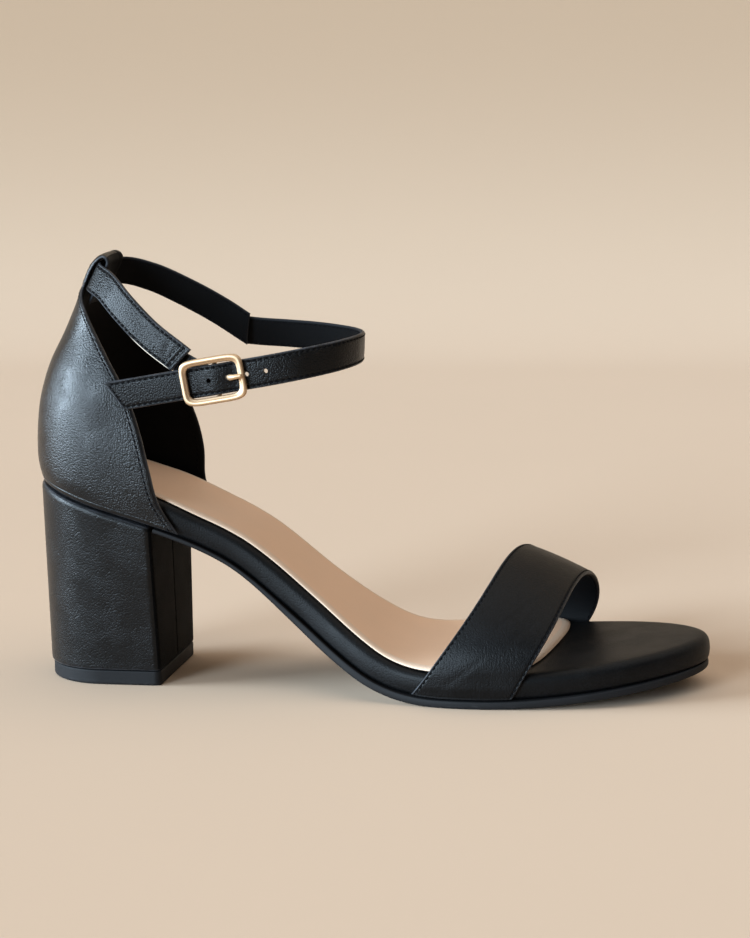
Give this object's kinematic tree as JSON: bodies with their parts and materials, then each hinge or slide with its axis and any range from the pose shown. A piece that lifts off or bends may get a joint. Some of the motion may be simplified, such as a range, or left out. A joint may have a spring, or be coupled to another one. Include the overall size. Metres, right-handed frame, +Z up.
{
  "type": "block heel sandal",
  "caption": "Right-foot sandal with a covered block heel, closed back, wide vamp strap, tan sock and a buckled ankle strap.",
  "frame": {"origin": "on the floor under the middle of the whole shoe's box", "axes": "+X from heel to toe, +Y towards the inner side of the foot, +Z up"},
  "size_m": [0.2316, 0.0864, 0.1468],
  "materials": {
    "black_leather": "fine pebbled grain, soft sheen",
    "tan_leather": "smooth, matt",
    "black_rubber": "matt",
    "pale_gold": "satin polished"
  },
  "bodies": {
    "root": {"outsole": "black_rubber", "footbed": "black_leather", "insole_sock": "tan_leather", "heel_block": "black_leather", "heel_lift": "black_rubber", "counter": "black_leather", "vamp_strap": "black_leather", "back_strap": "black_leather", "front_strap": "black_leather", "buckle_holder": "black_leather", "buckle_frame": "pale_gold", "buckle_bar": "pale_gold", "buckle_prong": "pale_gold"}
  },
  "joints": []
}
